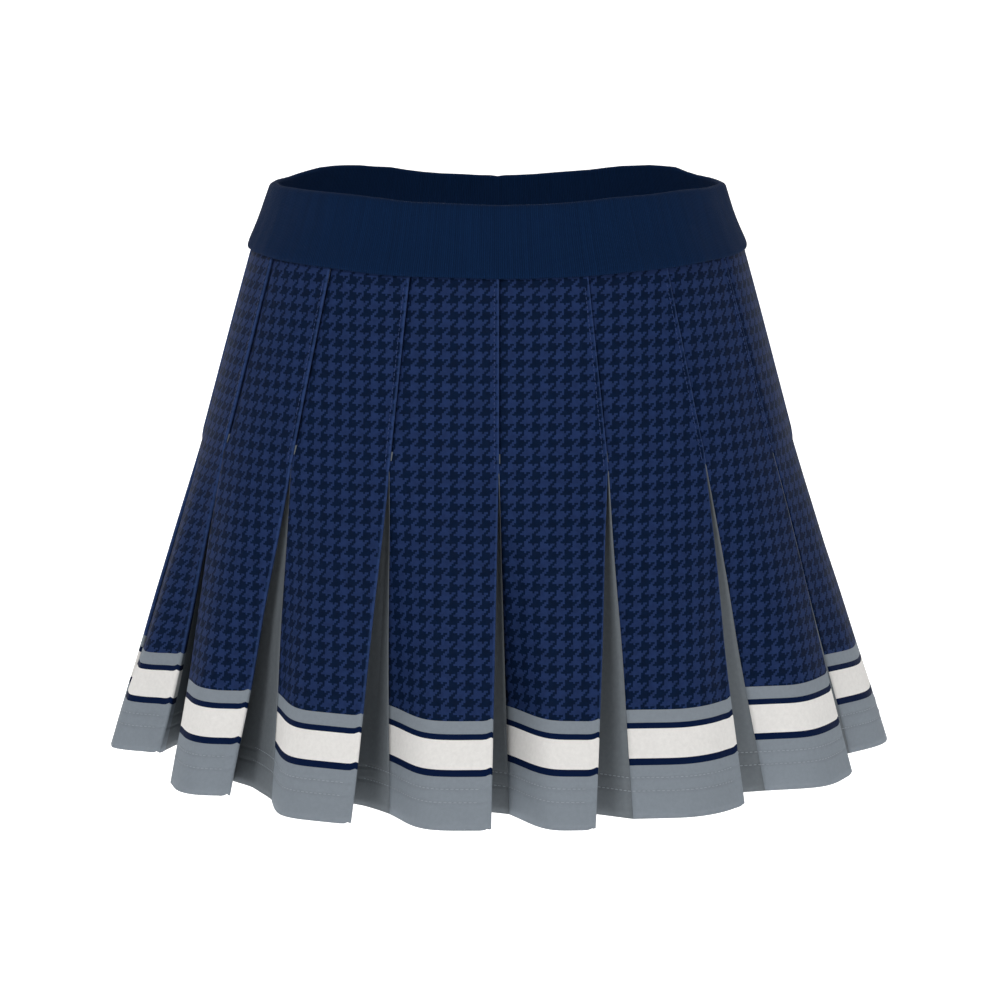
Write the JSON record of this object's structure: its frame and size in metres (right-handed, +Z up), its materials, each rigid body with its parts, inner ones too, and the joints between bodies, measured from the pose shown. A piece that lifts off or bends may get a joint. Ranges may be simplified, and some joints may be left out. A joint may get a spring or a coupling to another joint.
{
  "type": "cheer skirt",
  "caption": "Short A-line cheer skirt with a folded rib-knit waistband and stitched-down knife pleats that open over plain insets and swing outward together.",
  "frame": {"origin": "centre of the waist opening, level with the rim at the hips", "axes": "+Z up out of the waist opening, front of the skirt faces -Y, +X is the wearer's left"},
  "size_m": [0.4854, 0.4551, 0.3605],
  "materials": {
    "face_cloth": "tone-on-tone navy houndstooth, striped near the hem",
    "inset_cloth": "plain gray",
    "rib_knit": "navy fine rib knit",
    "elastic": "woven white elastic",
    "thread": "navy thread",
    "label": "blank white label"
  },
  "bodies": {
    "skirt_top": {"waistband_shell": "rib_knit", "waistband_elastic": "elastic", "stitched_underlays": "inset_cloth", "edge_stitching": "thread", "care_label": "label", "yoke_panel_01": "face_cloth", "yoke_panel_02": "face_cloth", "yoke_panel_03": "face_cloth", "yoke_panel_04": "face_cloth", "yoke_panel_05": "face_cloth", "yoke_panel_06": "face_cloth", "yoke_panel_07": "face_cloth", "yoke_panel_08": "face_cloth", "yoke_panel_09": "face_cloth", "yoke_panel_10": "face_cloth", "yoke_panel_11": "face_cloth", "yoke_panel_12": "face_cloth", "yoke_panel_13": "face_cloth", "yoke_panel_14": "face_cloth", "yoke_panel_15": "face_cloth", "yoke_panel_16": "face_cloth"},
    "pleat_01": {"pleat_01_inset": "inset_cloth", "pleat_01_face": "face_cloth"},
    "pleat_02": {"pleat_02_inset": "inset_cloth", "pleat_02_face": "face_cloth"},
    "pleat_03": {"pleat_03_inset": "inset_cloth", "pleat_03_face": "face_cloth"},
    "pleat_04": {"pleat_04_inset": "inset_cloth", "pleat_04_face": "face_cloth"},
    "pleat_05": {"pleat_05_inset": "inset_cloth", "pleat_05_face": "face_cloth"},
    "pleat_06": {"pleat_06_inset": "inset_cloth", "pleat_06_face": "face_cloth"},
    "pleat_07": {"pleat_07_inset": "inset_cloth", "pleat_07_face": "face_cloth"},
    "pleat_08": {"pleat_08_inset": "inset_cloth", "pleat_08_face": "face_cloth"},
    "pleat_09": {"pleat_09_inset": "inset_cloth", "pleat_09_face": "face_cloth"},
    "pleat_10": {"pleat_10_inset": "inset_cloth", "pleat_10_face": "face_cloth"},
    "pleat_11": {"pleat_11_inset": "inset_cloth", "pleat_11_face": "face_cloth"},
    "pleat_12": {"pleat_12_inset": "inset_cloth", "pleat_12_face": "face_cloth"},
    "pleat_13": {"pleat_13_inset": "inset_cloth", "pleat_13_face": "face_cloth"},
    "pleat_14": {"pleat_14_inset": "inset_cloth", "pleat_14_face": "face_cloth"},
    "pleat_15": {"pleat_15_inset": "inset_cloth", "pleat_15_face": "face_cloth"},
    "pleat_16": {"pleat_16_inset": "inset_cloth", "pleat_16_face": "face_cloth"}
  },
  "joints": [
    {"name": "pleat_01_swing", "type": "hinge", "parent": "skirt_top", "child": "pleat_01", "pos_m": [-0.03307, -0.14855, -0.16], "axis": [-0.9891, 0.1475, 0], "range_deg": [0, 12]},
    {"name": "pleat_02_swing", "type": "hinge", "parent": "skirt_top", "child": "pleat_02", "pos_m": [0.03307, -0.14855, -0.16], "axis": [-0.9891, -0.1475, 0], "range_deg": [0, 12]},
    {"name": "pleat_03_swing", "type": "hinge", "parent": "skirt_top", "child": "pleat_03", "pos_m": [0.09616, -0.12887, -0.16], "axis": [-0.8945, -0.4471, 0], "range_deg": [0, 12]},
    {"name": "pleat_04_swing", "type": "hinge", "parent": "skirt_top", "child": "pleat_04", "pos_m": [0.14876, -0.08932, -0.16], "axis": [-0.6675, -0.7446, 0], "range_deg": [0, 12]},
    {"name": "pleat_05_swing", "type": "hinge", "parent": "skirt_top", "child": "pleat_05", "pos_m": [0.18023, -0.0323, -0.16], "axis": [-0.2584, -0.966, 0], "range_deg": [0, 12]},
    {"name": "pleat_06_swing", "type": "hinge", "parent": "skirt_top", "child": "pleat_06", "pos_m": [0.18023, 0.0323, -0.16], "axis": [0.2584, -0.966, 0], "range_deg": [0, 12]},
    {"name": "pleat_07_swing", "type": "hinge", "parent": "skirt_top", "child": "pleat_07", "pos_m": [0.14876, 0.08932, -0.16], "axis": [0.6675, -0.7446, 0], "range_deg": [0, 12]},
    {"name": "pleat_08_swing", "type": "hinge", "parent": "skirt_top", "child": "pleat_08", "pos_m": [0.09616, 0.12887, -0.16], "axis": [0.8945, -0.4471, 0], "range_deg": [0, 12]},
    {"name": "pleat_09_swing", "type": "hinge", "parent": "skirt_top", "child": "pleat_09", "pos_m": [0.03307, 0.14855, -0.16], "axis": [0.9891, -0.1475, 0], "range_deg": [0, 12]},
    {"name": "pleat_10_swing", "type": "hinge", "parent": "skirt_top", "child": "pleat_10", "pos_m": [-0.03307, 0.14855, -0.16], "axis": [0.9891, 0.1475, 0], "range_deg": [0, 12]},
    {"name": "pleat_11_swing", "type": "hinge", "parent": "skirt_top", "child": "pleat_11", "pos_m": [-0.09616, 0.12887, -0.16], "axis": [0.8945, 0.4471, 0], "range_deg": [0, 12]},
    {"name": "pleat_12_swing", "type": "hinge", "parent": "skirt_top", "child": "pleat_12", "pos_m": [-0.14876, 0.08932, -0.16], "axis": [0.6675, 0.7446, 0], "range_deg": [0, 12]},
    {"name": "pleat_13_swing", "type": "hinge", "parent": "skirt_top", "child": "pleat_13", "pos_m": [-0.18023, 0.0323, -0.16], "axis": [0.2584, 0.966, 0], "range_deg": [0, 12]},
    {"name": "pleat_14_swing", "type": "hinge", "parent": "skirt_top", "child": "pleat_14", "pos_m": [-0.18023, -0.0323, -0.16], "axis": [-0.2584, 0.966, 0], "range_deg": [0, 12]},
    {"name": "pleat_15_swing", "type": "hinge", "parent": "skirt_top", "child": "pleat_15", "pos_m": [-0.14876, -0.08932, -0.16], "axis": [-0.6675, 0.7446, 0], "range_deg": [0, 12]},
    {"name": "pleat_16_swing", "type": "hinge", "parent": "skirt_top", "child": "pleat_16", "pos_m": [-0.09616, -0.12887, -0.16], "axis": [-0.8945, 0.4471, 0], "range_deg": [0, 12]}
  ],
  "couplings": [
    {"joint": "pleat_02_swing", "follows": "pleat_01_swing", "ratio": 1},
    {"joint": "pleat_03_swing", "follows": "pleat_01_swing", "ratio": 1},
    {"joint": "pleat_04_swing", "follows": "pleat_01_swing", "ratio": 1},
    {"joint": "pleat_05_swing", "follows": "pleat_01_swing", "ratio": 1},
    {"joint": "pleat_06_swing", "follows": "pleat_01_swing", "ratio": 1},
    {"joint": "pleat_07_swing", "follows": "pleat_01_swing", "ratio": 1},
    {"joint": "pleat_08_swing", "follows": "pleat_01_swing", "ratio": 1},
    {"joint": "pleat_09_swing", "follows": "pleat_01_swing", "ratio": 1},
    {"joint": "pleat_10_swing", "follows": "pleat_01_swing", "ratio": 1},
    {"joint": "pleat_11_swing", "follows": "pleat_01_swing", "ratio": 1},
    {"joint": "pleat_12_swing", "follows": "pleat_01_swing", "ratio": 1},
    {"joint": "pleat_13_swing", "follows": "pleat_01_swing", "ratio": 1},
    {"joint": "pleat_14_swing", "follows": "pleat_01_swing", "ratio": 1},
    {"joint": "pleat_15_swing", "follows": "pleat_01_swing", "ratio": 1},
    {"joint": "pleat_16_swing", "follows": "pleat_01_swing", "ratio": 1}
  ]
}
